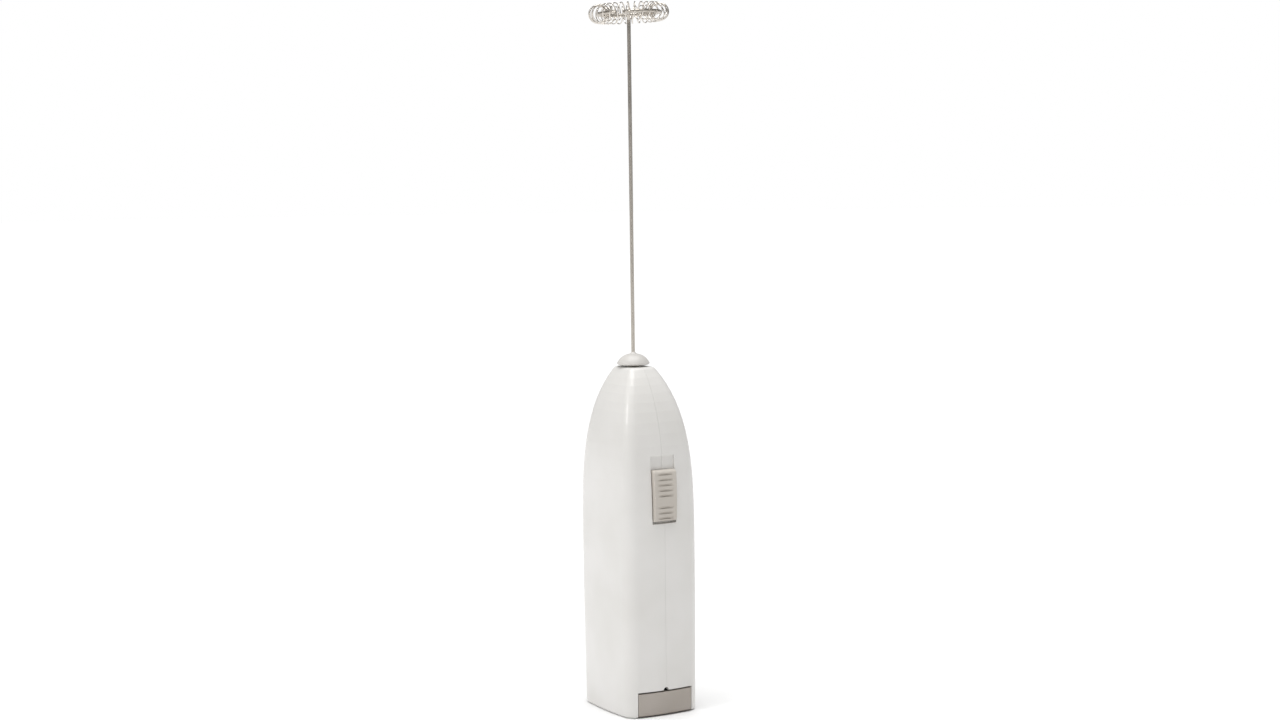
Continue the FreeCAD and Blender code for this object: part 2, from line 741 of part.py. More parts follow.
def armature_windings():
    """Copper wound round each pole's neck."""
    low = rotor_bottom()
    inner = rotor_hub_radius + running_gap
    outer = rotor_radius - pole_shoe - running_gap
    reach = pole_neck / 2
    coils = []
    for i in range(pole_count):
        bulk = box(inner, outer, -reach - winding_thickness, reach + winding_thickness,
                   low - winding_thickness, low + rotor_length + winding_thickness)
        bulk = bulk.common(tube(outer, low - winding_thickness, low + rotor_length + winding_thickness))
        corners = [e for e in bulk.Edges if abs(abs(e.BoundBox.YMin) - reach - winding_thickness) < 0.01
                   and e.BoundBox.YLength < 0.01 and e.BoundBox.ZLength < 0.01]
        bulk = bulk.makeFillet(winding_thickness / 2, corners)
        core = box(0, rotor_radius, -reach, reach, low, low + rotor_length)
        ring = bulk.cut(core)
        wedge = tube(inner + winding_thickness, low - 2 * winding_thickness,
                     low + rotor_length + 2 * winding_thickness)
        ring = ring.cut(wedge)
        ring.rotate(Vector(0, 0, 0), UP, 360.0 * i / pole_count)
        coils.append(ring)
    return Part.makeCompound(coils)


def commutator():
    """Slotted copper drum below the armature."""
    low = can_bottom + end_cap_plug / 2
    high = low + commutator_length
    drum = tube(commutator_radius, low, high).cut(tube(shaft_radius, low - past, high + past))
    for i in range(pole_count):
        slot = box(commutator_radius - commutator_slot, commutator_radius + past, -commutator_slot / 2,
                   commutator_slot / 2, low, high)
        slot.rotate(Vector(0, 0, 0), UP, 360.0 * (i + 0.5) / pole_count)
        drum = drum.cut(slot)
    return drum


def motor_brushes():
    """Two springy brushes that lean on the commutator, held in the end cap."""
    near = commutator_radius + running_gap
    low = can_bottom + end_cap_plug
    blades = []
    for side in (-1, 1):
        blade = box(-rotor_radius + end_cap_plug, rotor_radius - end_cap_plug, near,
                    near + brush_thickness, low, low + brush_height / 2)
        foot = box(-rotor_radius + end_cap_plug, -rotor_radius + end_cap_plug + brush_height, near,
                   near + brush_thickness, can_bottom, low)
        piece = blade.fuse(foot).removeSplitter()
        piece.rotate(Vector(0, 0, 0), UP, 90 - 90 * side)
        blades.append(piece)
    return Part.makeCompound(blades)


def motor_terminal(side):
    """A tab that stands out of the end cap; side is -1 for the front one."""
    left = strip_offset - terminal_width / 2
    near = terminal_reach * side
    far = near + strip * side
    return box(left, left + terminal_width, min(near, far), max(near, far),
               motor_rear - terminal_length, motor_rear)


def motor_shaft():
    low = motor_rear - bush_boss_height / 2 - shaft_below_cap
    return tube(shaft_radius, low, shaft_top)


# ---- drive, cap and whisk -------------------------------------------------------------------
def drive_coupling():
    """Sleeve that joins the motor's shaft to the whisk's rod."""
    sleeve = tube(coupling_radius, coupling_bottom, coupling_shoulder)
    neck = tube(neck_radius, coupling_shoulder, cap_bottom)
    lower_bore = tube(shaft_radius, coupling_bottom - past, shaft_top)
    upper_bore = tube(rod_radius, rod_bottom, cap_bottom + past)
    return sleeve.fuse(neck).cut([lower_bore, upper_bore]).removeSplitter()


def splash_cap():
    """Low dome with a small cone at its tip and a shallow hollow beneath."""
    rim_top = cap_bottom + cap_rim
    shoulder = cap_bottom + cap_height - cap_tip_height
    tip = cap_bottom + cap_height
    belly = Vector(cap_radius * belly_reach, 0, cap_bottom + cap_height * belly_rise)
    dome = Part.Arc(Vector(cap_radius, 0, rim_top), belly, Vector(cap_tip_radius, 0, shoulder))
    points = [
        Vector(cap_tip_radius, 0, shoulder), Vector(rod_radius, 0, tip),
        Vector(rod_radius, 0, cap_bottom), Vector(neck_radius, 0, cap_bottom),
        Vector(neck_radius + cap_hollow_depth, 0, cap_bottom + cap_hollow_depth),
        Vector(cap_hollow_radius, 0, cap_bottom + cap_hollow_depth),
        Vector(cap_hollow_radius + cap_hollow_depth, 0, cap_bottom),
        Vector(cap_radius - cap_rim, 0, cap_bottom), Vector(cap_radius, 0, rim_top),
    ]
    outline = Part.Wire([dome.toShape()] + Part.makePolygon(points).Edges)
    return Part.Face(outline).revolve(Vector(0, 0, 0), UP, 360)


def ring_spot(reach, angle, rise):
    """A point given by its reach, angle and rise on the ring, which leans about its spoke."""
    roll = math.radians(ring_roll)
    turned = math.radians(spoke_angle)
    along = reach * math.cos(angle)
    beside = reach * math.sin(angle) * math.cos(roll) - rise * math.sin(roll)
    level = ring_level + reach * math.sin(angle) * math.sin(roll) + rise * math.cos(roll)
    return Vector(along * math.cos(turned) - beside * math.sin(turned),
                  along * math.sin(turned) + beside * math.cos(turned), level)


def whisk_rod():
    """One wire: up the axis, out along a spoke and round the ring."""
    knee = rod_bend / math.sqrt(2)
    corner = rod_bend - knee
    entry_x = math.sqrt((ring_radius - ring_entry) ** 2 - ring_entry ** 2)
    entry_angle = math.atan2(ring_entry, entry_x)
    middle_angle = (entry_angle - math.pi / 2) / 2
    stop = 2 * math.pi - math.radians(ring_end_gap)
    bend_x = entry_x + ring_entry * math.cos(middle_angle)
    bend_y = ring_entry + ring_entry * math.sin(middle_angle)
    rise_end = Vector(0, 0, ring_level - rod_bend)
    bend_middle = ring_spot(corner, 0, 0) - Vector(0, 0, corner)
    spoke_end = ring_spot(entry_x, 0, 0)
    bend_out = ring_spot(math.hypot(bend_x, bend_y), math.atan2(bend_y, bend_x), 0)
    ring_start = ring_spot(ring_radius, entry_angle, 0)
    ring_middle = ring_spot(ring_radius, (entry_angle + stop) / 2, 0)
    edges = [
        Part.LineSegment(Vector(0, 0, rod_bottom), rise_end).toShape(),
        Part.Arc(rise_end, bend_middle, ring_spot(rod_bend, 0, 0)).toShape(),
        Part.LineSegment(ring_spot(rod_bend, 0, 0), spoke_end).toShape(),
        Part.Arc(spoke_end, bend_out, ring_start).toShape(),
        Part.Arc(ring_start, ring_middle, ring_spot(ring_radius, stop, 0)).toShape(),
    ]
    sweep = Part.BRepOffsetAPI.MakePipeShell(Part.Wire(edges))
    sweep.add(Part.Wire([Part.Circle(Vector(0, 0, rod_bottom), UP, rod_radius).toShape()]))
    sweep.build()
    sweep.makeSolid()
    return sweep.shape()


def coil_spot(turn):
    """A point on the coil's wire after so many turns."""
    wound = 2 * math.pi * turn
    return ring_spot(ring_radius + coil_radius * math.cos(wound), wound / coil_turns,
                     coil_radius * math.sin(wound))


def whisk_coil():
    """Fine wire wound round the whole ring and joined to itself, in short straight runs."""
    points = [coil_spot(i / coil_points) for i in range(coil_points + 2)]
    start = (points[0] + points[1]) / 2
    end = (points[-2] + points[-1]) / 2
    turn = wire_through([start] + points[1:-1] + [end], coil_wire)
    runs = [face for face in turn.Faces if isinstance(face.Surface, Part.Cylinder)]
    middle = ring_spot(0, 0, 0)
    lean = ring_spot(0, 0, 1) - middle
    faces = []
    for i in range(coil_turns):
        for run in runs:
            face = run.copy()
            face.rotate(middle, lean, 360.0 * i / coil_turns)
            faces.append(face)
    shell = Part.makeShell(faces)
    shell.sewShape()
    return Part.makeSolid(shell.Shells[0])


# ---- every piece, by name -------------------------------------------------------------------
def pieces():
    cap_boss_low = motor_rear - bush_boss_height / 2
    return {
        "casing_left": casing_half(True),
        "casing_right": casing_half(False),
        "battery_cell_front": cell(front_cell_y, front_cell_floor, True),
        "battery_cell_rear": cell(rear_cell_y, rear_cell_floor, False),
        "contact_positive": contact_positive(),
        "contact_negative": contact_negative(),
        "contact_spring": contact_spring(),
        "contact_switched": contact_switched(),
        "switch_slider": switch_slider(),
        "switch_bridge": switch_bridge(),
        "battery_lid": battery_lid(),
        "lid_contact_plate": lid_contact_plate(),
        "lid_spring": lid_spring(),
        "motor_can": motor_can(),
        "motor_end_cap": motor_end_cap(),
        "motor_bush_lower": bush(cap_boss_low, can_bottom),
        "motor_bush_upper": bush(can_top - can_wall, can_top + bush_boss_height),
        "motor_magnets": motor_magnets(),
        "motor_brushes": motor_brushes(),
        "motor_terminal_front": motor_terminal(-1),
        "motor_terminal_rear": motor_terminal(1),
        "motor_shaft": motor_shaft(),
        "armature_core": armature_core(),
        "armature_windings": armature_windings(),
        "commutator": commutator(),
        "drive_coupling": drive_coupling(),
        "splash_cap": splash_cap(),
        "whisk_rod": whisk_rod(),
        "whisk_coil": whisk_coil(),
    }


os.makedirs("parts", exist_ok=True)
for name, shape in pieces().items():
    shape.translate(Vector(0, row_shift, 0))
    shape.exportStep("parts/" + name + ".step")
    bounds = shape.BoundBox
    print(name, "solids", len(shape.Solids), "valid", shape.isValid(), "volume", round(shape.Volume, 2),
          "z", round(bounds.ZMin, 2), round(bounds.ZMax, 2))
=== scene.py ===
# %% [markdown]
# A battery milk frother, dressed for a portrait
# ---------------------------------------------
# The mechanical model already exists: every shell, spring and strip has its true size and place.
# This lesson adds what a drawing can't say: what each thing is made of, how light slides over
# moulded plastic and drawn wire, and the fine winding of the whisk.  We start by loading the
# model.  Everything is in metres, so a millimetre is written once, here, for the small sizes.

# %% Load the model
import json
import math
import bmesh
import bpy
from mathutils import Matrix, Vector, noise


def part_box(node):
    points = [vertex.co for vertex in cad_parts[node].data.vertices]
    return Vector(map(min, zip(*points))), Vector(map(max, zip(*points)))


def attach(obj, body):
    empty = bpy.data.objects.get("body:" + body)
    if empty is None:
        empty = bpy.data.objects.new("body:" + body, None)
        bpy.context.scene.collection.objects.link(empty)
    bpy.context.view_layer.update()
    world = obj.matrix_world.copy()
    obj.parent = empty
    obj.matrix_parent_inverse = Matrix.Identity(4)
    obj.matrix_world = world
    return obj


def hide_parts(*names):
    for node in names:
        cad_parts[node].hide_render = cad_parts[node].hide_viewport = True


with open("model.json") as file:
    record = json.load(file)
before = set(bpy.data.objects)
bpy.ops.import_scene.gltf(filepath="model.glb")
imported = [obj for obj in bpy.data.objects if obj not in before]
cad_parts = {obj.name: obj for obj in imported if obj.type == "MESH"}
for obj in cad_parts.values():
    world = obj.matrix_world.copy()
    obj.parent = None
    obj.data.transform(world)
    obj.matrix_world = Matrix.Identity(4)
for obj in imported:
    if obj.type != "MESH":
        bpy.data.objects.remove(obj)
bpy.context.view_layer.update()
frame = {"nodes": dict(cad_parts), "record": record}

MM = 0.001
print("pieces in the model:", len(frame["nodes"]))

# %% [markdown]
# The whisk turns about one upright line, but its ring is bent by hand and leans a little.  The
# axis is read from the joint in the record.  The ring's middle is the mean of the coil's corners,
# and its lean comes from the straight-line fit of height against place, so the winding that is
# made below follows the ring of the model.

# %% Where the whisk's axis and ring are
joints = {joint["name"]: joint for joint in frame["record"]["behaviour"]["joints"]}
AXIS = Vector(joints["whisk_spin"]["pos_m"])
coil_spots = [vertex.co.copy() for vertex in frame["nodes"]["whisk_coil"].data.vertices]
ring_middle = sum(coil_spots, Vector()) / len(coil_spots)
around_middle = [spot - ring_middle for spot in coil_spots]


def lean_of(spots):
    """The upright direction of the flattest plane through the spots."""
    xx, yy, xy, xz, yz = [sum(spot[i] * spot[j] for spot in spots)
                          for i, j in ((0, 0), (1, 1), (0, 1), (0, 2), (1, 2))]
    spread = xx * yy - xy * xy
    slope_x = (xz * yy - yz * xy) / spread
    slope_y = (yz * xx - xz * xy) / spread
    return Vector((-slope_x, -slope_y, 1.0)).normalized()


ring_up = lean_of(around_middle)
ring_side = ring_up.orthogonal().normalized()
ring_ahead = ring_up.cross(ring_side)
lean = math.degrees(ring_up.angle(Vector((0, 0, 1))))
print("axis at", tuple(AXIS), "ring leans", round(lean, 2), "degrees")


# %% [markdown]
# Materials come first.  Several finishes share the same small imperfections, so each imperfection
# is a node group: built once, with named inputs, and placed in every material that needs it.
# A group here only answers questions such as "how bright, how rough, how high is the surface at
# this point?".  The shader itself always stays in the material.

# %% Helpers that make a node group easy to read
def new_group(name, inputs, outputs):
    """An empty shader group with float, colour or vector sockets."""
    kinds = {"value": "NodeSocketFloat", "colour": "NodeSocketColor", "vector": "NodeSocketVector"}
    group = bpy.data.node_groups.new(name, "ShaderNodeTree")
    for label, kind, start in inputs:
        socket = group.interface.new_socket(label, in_out="INPUT", socket_type=kinds[kind])
        socket.default_value = start
    for label, kind in outputs:
        group.interface.new_socket(label, in_out="OUTPUT", socket_type=kinds[kind])
    return group, group.nodes.new("NodeGroupInput"), group.nodes.new("NodeGroupOutput")


def add(tree, kind, **settings):
    """A node with its properties and unlinked sockets set by name."""
    node = tree.nodes.new(kind)
    sockets = settings.pop("sockets", {})
    for key, value in settings.items():
        setattr(node, key, value)
    for key, value in sockets.items():
        node.inputs[key].default_value = value
    return node


# %% [markdown]
# Injection-moulded plastic is never one flat colour.  It has a very fine spark-eroded grain, a
# slow drift in shade where the melt cooled unevenly, and soft patches where fingers polished it.
# Two noises at different scales give the grain and the drift; the group mixes two close colours
# and returns a roughness and a height as well.

# %% Group: moulded plastic
def make_moulded_group():
    inputs = [
        ("Base", "colour", (0.8, 0.8, 0.8, 1.0)), ("Drift", "colour", (0.75, 0.75, 0.75, 1.0)),
        ("Grain Size", "value", 2500.0), ("Drift Size", "value", 40.0),
        ("Smooth", "value", 0.3), ("Rough", "value", 0.4),
    ]
    outputs = [("Colour", "colour"), ("Roughness", "value"), ("Height", "value")]
    group, source, sink = new_group("moulded_plastic", inputs, outputs)
    place = add(group, "ShaderNodeTexCoord")
    grain = add(group, "ShaderNodeTexNoise", sockets={"Detail": 3.0, "Roughness": 0.6})
    drift = add(group, "ShaderNodeTexNoise", sockets={"Detail": 2.0, "Roughness": 0.5})
    soften = add(group, "ShaderNodeMapRange", sockets={"From Min": 0.35, "From Max": 0.65})
    tint = add(group, "ShaderNodeMix", data_type="RGBA")
    shine = add(group, "ShaderNodeMapRange", sockets={"From Min": 0.3, "From Max": 0.7})
    link = group.links.new
    link(place.outputs["Object"], grain.inputs["Vector"])
    link(place.outputs["Object"], drift.inputs["Vector"])
    link(source.outputs["Grain Size"], grain.inputs["Scale"])
    link(source.outputs["Drift Size"], drift.inputs["Scale"])
    link(drift.outputs["Fac"], soften.inputs["Value"])
    link(soften.outputs["Result"], tint.inputs["Factor"])
    link(source.outputs["Base"], tint.inputs["A"])
    link(source.outputs["Drift"], tint.inputs["B"])
    link(drift.outputs["Fac"], shine.inputs["Value"])
    link(source.outputs["Smooth"], shine.inputs["To Min"])
    link(source.outputs["Rough"], shine.inputs["To Max"])
    link(tint.outputs["Result"], sink.inputs["Colour"])
    link(shine.outputs["Result"], sink.inputs["Roughness"])
    link(grain.outputs["Fac"], sink.inputs["Height"])
    return group


MOULDED = make_moulded_group()
print("shared group:", MOULDED.name)


# %% [markdown]
# Metal that was drawn, rolled or turned keeps hair-fine lines along the direction it was worked.
# A noise stretched strongly along one axis makes them: the stretch is a vector input, so the same
# group serves an upright rod and a strip that lies flat.

# %% Group: lines left by drawing and rolling
def make_drawn_group():
    inputs = [
        ("Light", "colour", (0.7, 0.7, 0.7, 1.0)), ("Dark", "colour", (0.5, 0.5, 0.5, 1.0)),
        ("Stretch", "vector", (1.0, 1.0, 0.05)), ("Line Size", "value", 4000.0),
        ("Smooth", "value", 0.2), ("Rough", "value", 0.35),
    ]
    outputs = [("Colour", "colour"), ("Roughness", "value"), ("Height", "value")]
    group, source, sink = new_group("drawn_metal", inputs, outputs)
    place = add(group, "ShaderNodeTexCoord")
    stretched = add(group, "ShaderNodeVectorMath", operation="MULTIPLY")
    lines = add(group, "ShaderNodeTexNoise", sockets={"Detail": 4.0, "Roughness": 0.65})
    cloud = add(group, "ShaderNodeTexNoise", sockets={"Scale": 150.0, "Detail": 2.0})
    tint = add(group, "ShaderNodeMix", data_type="RGBA")
    blend = add(group, "ShaderNodeMath", operation="MULTIPLY")
    shine = add(group, "ShaderNodeMapRange", sockets={"From Min": 0.15, "From Max": 0.4})
    link = group.links.new
    link(place.outputs["Object"], stretched.inputs[0])
    link(source.outputs["Stretch"], stretched.inputs[1])
    link(stretched.outputs["Vector"], lines.inputs["Vector"])
    link(place.outputs["Object"], cloud.inputs["Vector"])
    link(source.outputs["Line Size"], lines.inputs["Scale"])
    link(lines.outputs["Fac"], tint.inputs["Factor"])
    link(source.outputs["Light"], tint.inputs["A"])
    link(source.outputs["Dark"], tint.inputs["B"])
    link(lines.outputs["Fac"], blend.inputs[0])
    link(cloud.outputs["Fac"], blend.inputs[1])
    link(blend.outputs["Value"], shine.inputs["Value"])
    link(source.outputs["Smooth"], shine.inputs["To Min"])
    link(source.outputs["Rough"], shine.inputs["To Max"])
    link(tint.outputs["Result"], sink.inputs["Colour"])
    link(shine.outputs["Result"], sink.inputs["Roughness"])
    link(lines.outputs["Fac"], sink.inputs["Height"])
    return group


DRAWN = make_drawn_group()
print("shared group:", DRAWN.name)


# %% [markdown]
# Some things are laid in even bands: enamelled wire side by side, or thin steel sheets stacked
# into a core.  A wave texture is the natural tool, and a little distortion keeps it from looking
# machine-drawn.  The low parts of the bands get a darker colour than the crests.  That darker
# colour is painted shade, standing in for the shade that falls between wires and between sheets.

# %% Group: even bands, with painted shade in their low parts
def make_banded_group():
    inputs = [
        ("Crest", "colour", (0.8, 0.4, 0.2, 1.0)), ("Groove Painted Shade", "colour", (0.3, 0.1, 0.05, 1.0)),
        ("Across", "vector", (0.0, 0.0, 1.0)), ("Bands", "value", 600.0),
    ]
    outputs = [("Colour", "colour"), ("Height", "value")]
    group, source, sink = new_group("even_bands", inputs, outputs)
    place = add(group, "ShaderNodeTexCoord")
    squash = add(group, "ShaderNodeVectorMath", operation="MULTIPLY")
    wave = add(group, "ShaderNodeTexWave", bands_direction="DIAGONAL",
               sockets={"Distortion": 0.6, "Detail": 1.0, "Detail Scale": 0.5})
    tint = add(group, "ShaderNodeMix", data_type="RGBA")
    link = group.links.new
    link(place.outputs["Object"], squash.inputs[0])
    link(source.outputs["Across"], squash.inputs[1])
    link(squash.outputs["Vector"], wave.inputs["Vector"])
    link(source.outputs["Bands"], wave.inputs["Scale"])
    link(wave.outputs["Fac"], tint.inputs["Factor"])
    # The low parts of the bands take the darker colour: painted shade.
    link(source.outputs["Groove Painted Shade"], tint.inputs["A"])
    link(source.outputs["Crest"], tint.inputs["B"])
    link(tint.outputs["Result"], sink.inputs["Colour"])
    link(wave.outputs["Fac"], sink.inputs["Height"])
    return group


BANDED = make_banded_group()
print("shared group:", BANDED.name)


# %% [markdown]
# Each finish is one material: a group for what varies, a Principled shader for the rest.  Values
# that are the same all over, such as the metallic value or a clear coat, sit directly on it.

# %% Helper: a material around one group
def linear(*shades):
    """Screen shades from 0 to 255 as the linear colour that a shader expects."""
    def channel(shade):
        share = shade / 255
        return share / 12.92 if share <= 0.04045 else ((share + 0.055) / 1.055) ** 2.4
    return tuple(channel(shade) for shade in shades) + (1.0,)


def finish(name, group, values, bump, bump_distance, **shader):
    """A material whose colour, roughness and height come from a shared group."""
    material = bpy.data.materials.new(name)
    material.use_nodes = True
    tree = material.node_tree
    surface = tree.nodes["Principled BSDF"]
    source = add(tree, "ShaderNodeGroup", node_tree=group, sockets=values)
    tree.links.new(source.outputs["Colour"], surface.inputs["Base Color"])
    if "Roughness" in source.outputs:
        tree.links.new(source.outputs["Roughness"], surface.inputs["Roughness"])
    relief = add(tree, "ShaderNodeBump", sockets={"Strength": bump, "Distance": bump_distance})
    tree.links.new(source.outputs["Height"], relief.inputs["Height"])
    tree.links.new(relief.outputs["Normal"], surface.inputs["Normal"])
    for socket, value in shader.items():
        surface.inputs[socket.replace("_", " ")].default_value = value
    return material


# %% [markdown]
# The casing is white polymer with a fine satin gloss: bright, but still soft at the edges of a
# highlight.  The cap is the same family in a greyer shade.  Slider and latch are a warm grey with
# a coarser, duller grain, which is what fingers need.

# %% Plastics
FINE_GRAIN = 2600.0         # about this many grains in a metre
COARSE_GRAIN = 1900.0
STONY_GRAIN = 1500.0
DRIFT_PATCHES = 55.0        # about this many patches of shade in a metre
FINE_BUMP = 0.12
COARSE_BUMP = 0.25
STONY_BUMP = 0.4
PLASTIC_RELIEF = 0.04 * MM  # height of the grain


def plastic(name, base, drift, smooth, rough, grain=FINE_GRAIN, bump=FINE_BUMP, **shader):
    """A moulded finish between two close shades and two roughnesses."""
    values = {"Base": linear(*base), "Drift": linear(*drift), "Grain Size": grain,
              "Drift Size": DRIFT_PATCHES, "Smooth": smooth, "Rough": rough}
    return finish(name, MOULDED, values, bump, PLASTIC_RELIEF, **shader)


casing_white = plastic("casing_white", (231, 229, 226), (226, 224, 220), smooth=0.30, rough=0.40,
                       Coat_Weight=0.25, Coat_Roughness=0.14)
cap_grey = plastic("cap_grey", (215, 212, 208), (207, 204, 199), smooth=0.34, rough=0.46)
slider_grey = plastic("slider_grey", (204, 198, 189), (197, 190, 181), smooth=0.48, rough=0.62,
                      grain=COARSE_GRAIN, bump=COARSE_BUMP)
latch_grey = plastic("latch_grey", (182, 174, 166), (175, 167, 158), smooth=0.46, rough=0.60,
                     grain=COARSE_GRAIN, bump=COARSE_BUMP)
natural_white = plastic("natural_white", (228, 225, 214), (220, 216, 203), smooth=0.35, rough=0.5)
terminal_board = plastic("terminal_board", (206, 202, 190), (196, 191, 178), smooth=0.4, rough=0.55)
magnet_black = plastic("magnet_black", (52, 52, 54), (40, 40, 43), smooth=0.6, rough=0.8,
                       grain=STONY_GRAIN, bump=STONY_BUMP)
print("plastics:", casing_white.name, cap_grey.name, slider_grey.name, latch_grey.name,
      natural_white.name, terminal_board.name, magnet_black.name)


# %% [markdown]
# The metals differ in colour and in how they were worked.  The whisk is drawn stainless wire, the
# contacts are nickel-plated strip, the motor's can is zinc-plated and duller.

# %% Metals
FINE_LINES = 4000.0         # about this many lines in a metre, counted across them
BROAD_LINES = 2200.0
METAL_BUMP = 0.1
METAL_RELIEF = 0.03 * MM    # depth of the lines
UPRIGHT = (1.0, 1.0, 0.04)
LEVEL = (0.04, 1.0, 1.0)


def metal(name, light, dark, stretch, smooth, rough, lines=FINE_LINES):
    """A worked finish whose lines run the way of the smallest stretch."""
    values = {"Light": linear(*light), "Dark": linear(*dark), "Stretch": stretch,
              "Line Size": lines, "Smooth": smooth, "Rough": rough}
    return finish(name, DRAWN, values, METAL_BUMP, METAL_RELIEF, Metallic=1.0)


whisk_steel = metal("whisk_steel", (206, 200, 191), (172, 165, 156), UPRIGHT, smooth=0.2, rough=0.34)
coil_steel = metal("coil_steel", (226, 221, 214), (200, 194, 186), UPRIGHT, smooth=0.18, rough=0.32)
nickel_strip = metal("nickel_strip", (214, 208, 192), (188, 181, 163), UPRIGHT, smooth=0.18, rough=0.34)
zinc_can = metal("zinc_can", (186, 188, 190), (158, 161, 164), LEVEL, smooth=0.3, rough=0.5,
                 lines=BROAD_LINES)
ground_steel = metal("ground_steel", (204, 205, 208), (172, 173, 177), LEVEL, smooth=0.12, rough=0.25)
bush_bronze = metal("bush_bronze", (188, 148, 92), (150, 112, 64), LEVEL, smooth=0.35, rough=0.5)
turned_copper = metal("turned_copper", (214, 148, 112), (180, 112, 80), LEVEL, smooth=0.2, rough=0.35)
print("metals:", whisk_steel.name, coil_steel.name, nickel_strip.name, zinc_can.name,
      ground_steel.name, bush_bronze.name, turned_copper.name)


# %% [markdown]
# The armature's steel is a stack of stamped sheets and the windings are enamelled wire, so both
# use the banded group, each with its own colours and its own direction and number of bands.
# In both, the darker second colour is painted shade in the low parts between the bands.

# %% Stacked sheets and windings, with painted shade between the bands
BAND_RELIEF = 0.08 * MM     # height of a band
STACKED = (0.0, 0.0, 1.0)
SLANTED = (1.0, 1.0, 0.0)


def banded(name, crest, groove_painted_shade, across, bands, rough, metallic, bump):
    """A finish of even bands: the larger their number, the narrower they are."""
    # The second colour is painted shade in the low parts between the bands.
    values = {"Crest": linear(*crest), "Groove Painted Shade": linear(*groove_painted_shade), "Across": across, "Bands": bands}
    return finish(name, BANDED, values, bump, BAND_RELIEF, Metallic=metallic, Roughness=rough)


# Each second colour is painted shade between the sheets and between the wire turns.
core_sheets = banded("core_sheets", (150, 150, 154), (92, 92, 96), STACKED, bands=950.0,
                     rough=0.45, metallic=1.0, bump=0.5)
enamelled_wire = banded("enamelled_wire", (214, 122, 62), (120, 52, 20), SLANTED, bands=800.0,
                        rough=0.28, metallic=0.85, bump=0.9)
print("banded:", core_sheets.name, enamelled_wire.name)


# %% [markdown]
# A power cell is a steel can in a shrunk plastic sleeve.  The sleeve stops just short of the ends.
# One material can show both: a mask from the height along the cell switches between sleeve and
# metal.  The two cells stand at different heights, so each gets its own limits.  The sleeve is a
# plain dark grey with one pale band and carries no lettering.

# %% Power cell material
CELL_STEEL = linear(206, 206, 204)
CELL_SLEEVE = linear(62, 66, 72)
CELL_BAND = linear(196, 190, 172)
COVERED, BARE = (0, 0, 0, 1), (1, 1, 1, 1)
IS_METAL = {CELL_STEEL: BARE, CELL_SLEEVE: COVERED, CELL_BAND: COVERED}
# Each colour with the share of the cell's height at which it starts, from the lower end.
NUB_UP = [(0.0, CELL_STEEL), (0.018, CELL_SLEEVE), (0.70, CELL_BAND), (0.955, CELL_STEEL)]
NUB_DOWN = [(0.0, CELL_STEEL), (0.045, CELL_BAND), (0.30, CELL_SLEEVE), (0.982, CELL_STEEL)]


def set_ramp(ramp, stops):
    """Give a colour ramp hard-edged stops, each a place and a colour."""
    ramp.interpolation = "CONSTANT"
    while len(ramp.elements) < len(stops):
        ramp.elements.new(0.5)
    for element, (position, colour) in zip(ramp.elements, stops):
        element.position = position
        element.color = colour


def cell_finish(node, name, stops):
    """A material whose sleeve, band and bare ends follow the height along the cell."""
    low, high = [Vector(corner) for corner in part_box(node)]
    material = bpy.data.materials.new(name)
    material.use_nodes = True
    tree = material.node_tree
    surface = tree.nodes["Principled BSDF"]
    place = add(tree, "ShaderNodeTexCoord")
    split = add(tree, "ShaderNodeSeparateXYZ")
    height = add(tree, "ShaderNodeMapRange", sockets={"From Min": low.z, "From Max": high.z})
    colour = add(tree, "ShaderNodeValToRGB")
    bare = add(tree, "ShaderNodeValToRGB")
    scuff = add(tree, "ShaderNodeTexNoise", sockets={"Scale": 900.0, "Detail": 4.0})
    rough = add(tree, "ShaderNodeMapRange", sockets={"To Min": 0.22, "To Max": 0.42})
    relief = add(tree, "ShaderNodeBump", sockets={"Strength": 0.08, "Distance": PLASTIC_RELIEF})
    set_ramp(colour.color_ramp, stops)
    set_ramp(bare.color_ramp, [(start, IS_METAL[shade]) for start, shade in stops])
    link = tree.links.new
    link(place.outputs["Object"], split.inputs["Vector"])
    link(split.outputs["Z"], height.inputs["Value"])
    link(height.outputs["Result"], colour.inputs["Fac"])
    link(height.outputs["Result"], bare.inputs["Fac"])
    link(colour.outputs["Color"], surface.inputs["Base Color"])
    link(bare.outputs["Color"], surface.inputs["Metallic"])
    link(place.outputs["Object"], scuff.inputs["Vector"])
    link(scuff.outputs["Fac"], rough.inputs["Value"])
    link(rough.outputs["Result"], surface.inputs["Roughness"])
    link(scuff.outputs["Fac"], relief.inputs["Height"])
    link(relief.outputs["Normal"], surface.inputs["Normal"])
    return material


front_cell = cell_finish("battery_cell_front", "front_cell", NUB_UP)
rear_cell = cell_finish("battery_cell_rear", "rear_cell", NUB_DOWN)
print("power cells:", front_cell.name, rear_cell.name)


# %% [markdown]
# Now the nodes of the model are given their finish, all but the whisk's coil, which is remade
# further down.  A dictionary from finish to nodes reads like a parts list, and a loop does the work.

